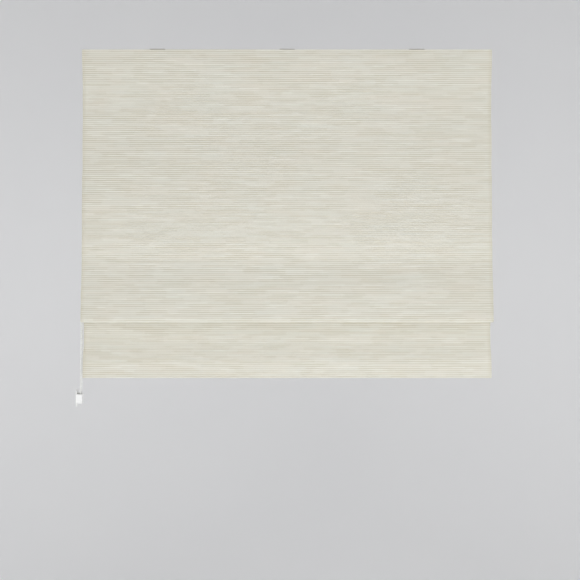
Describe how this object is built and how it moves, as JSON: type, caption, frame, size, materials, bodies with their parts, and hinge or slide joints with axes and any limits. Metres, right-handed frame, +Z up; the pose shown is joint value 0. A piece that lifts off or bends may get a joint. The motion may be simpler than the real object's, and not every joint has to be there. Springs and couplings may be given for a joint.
{
  "type": "roman blind",
  "caption": "Chain-operated roman blind hanging from a headrail, partly raised, with its lowest bay folded forward over the skirt.",
  "frame": {"origin": "on the lintel plane, midway between the two screw holes of the middle fixing bracket", "axes": "+Z up, out of the screw holes into the lintel; +X to the right as seen from the room, along the headrail; -Y into the room"},
  "size_m": [1.218, 0.0813, 1.048],
  "materials": {
    "face_cloth": "matt slub weave",
    "lining_cloth": "matt plain weave",
    "tape": "hook and loop",
    "cord": "braided",
    "rail_paint": "satin powder coat",
    "bracket_steel": "satin",
    "bright_steel": "bright",
    "bare_aluminium": "mill",
    "white_plastic": "moulded",
    "natural_plastic": "moulded",
    "chain_plastic": "moulded",
    "clear_plastic": "clear moulded",
    "glass_fibre": "pultruded"
  },
  "bodies": {
    "headrail": {"headrail": "rail_paint", "hook_tape": "tape", "loop_tape": "tape", "fixing_bracket_1": "bracket_steel", "fixing_bracket_2": "bracket_steel", "fixing_bracket_3": "bracket_steel", "bracket_rivets": "bright_steel", "drive_housing": "white_plastic", "drive_cover": "white_plastic", "cover_screws": "bright_steel", "brake_spring": "bright_steel", "idle_end_cap": "white_plastic", "spool_cradle_1": "natural_plastic", "spool_cradle_2": "natural_plastic", "spool_cradle_3": "natural_plastic", "bead_chain": "chain_plastic", "chain_connector": "clear_plastic", "tensioner_body": "white_plastic", "tensioner_pin": "bright_steel", "face_fabric": "face_cloth", "lining": "lining_cloth", "lift_cord_1": "cord", "lift_cord_2": "cord", "lift_cord_3": "cord"},
    "shaft": {"sprocket": "natural_plastic", "drive_hub": "natural_plastic", "drive_shaft": "bare_aluminium", "spool_1": "natural_plastic", "spool_2": "natural_plastic", "spool_3": "natural_plastic", "idle_hub": "natural_plastic"},
    "tensioner_wheel": {"tensioner_wheel": "natural_plastic"},
    "lever_1": {"bracket_lever_1": "white_plastic"},
    "lever_2": {"bracket_lever_2": "white_plastic"},
    "lever_3": {"bracket_lever_3": "white_plastic"},
    "upper_rod": {"rod_tape_upper": "lining_cloth", "rod_upper": "glass_fibre", "rod_caps_upper": "white_plastic", "cord_rings_upper": "clear_plastic"},
    "middle_rod": {"rod_tape_middle": "lining_cloth", "rod_middle": "glass_fibre", "rod_caps_middle": "white_plastic", "cord_rings_middle": "clear_plastic"},
    "lower_rod": {"rod_tape_lower": "lining_cloth", "rod_lower": "glass_fibre", "rod_caps_lower": "white_plastic", "cord_rings_lower": "clear_plastic", "hem_sleeve": "lining_cloth", "bottom_bar": "bare_aluminium", "bottom_bar_caps": "white_plastic", "cord_adjuster_1": "clear_plastic", "cord_adjuster_2": "clear_plastic", "cord_adjuster_3": "clear_plastic"}
  },
  "joints": [
    {"name": "upper_rod_lift", "type": "slide", "parent": "headrail", "child": "upper_rod", "axis": [0, 0, 1], "range_m": [0, 0.205]},
    {"name": "raise", "type": "slide", "parent": "upper_rod", "child": "middle_rod", "axis": [0, 0, 1], "range_m": [0, 0.32], "deforming": ["face_fabric", "lining", "lift_cord_1", "lift_cord_2", "lift_cord_3"]},
    {"name": "lower_last_fold", "type": "slide", "parent": "middle_rod", "child": "lower_rod", "axis": [0, 0, 1], "range_m": [-0.352, 0]},
    {"name": "shaft_spin", "type": "hinge", "parent": "headrail", "child": "shaft", "pos_m": [0, 0.013, -0.022], "axis": [1, 0, 0], "continuous": true},
    {"name": "tensioner_spin", "type": "hinge", "parent": "headrail", "child": "tensioner_wheel", "pos_m": [-0.6055, 0.013, -1.0235], "axis": [1, 0, 0], "continuous": true},
    {"name": "lever_1_turn", "type": "hinge", "parent": "headrail", "child": "lever_1", "pos_m": [-0.38, 0.01, -0.005], "axis": [0, 0, 1], "range_deg": [0, 90]},
    {"name": "lever_2_turn", "type": "hinge", "parent": "headrail", "child": "lever_2", "pos_m": [0, 0.01, -0.005], "axis": [0, 0, 1], "range_deg": [0, 90]},
    {"name": "lever_3_turn", "type": "hinge", "parent": "headrail", "child": "lever_3", "pos_m": [0.38, 0.01, -0.005], "axis": [0, 0, 1], "range_deg": [0, 90]}
  ],
  "couplings": [
    {"joint": "upper_rod_lift", "follows": "raise", "ratio": 0.64062},
    {"joint": "shaft_spin", "follows": "raise", "rad_per_m": 188.58},
    {"joint": "tensioner_spin", "follows": "raise", "rad_per_m": 188.58}
  ]
}
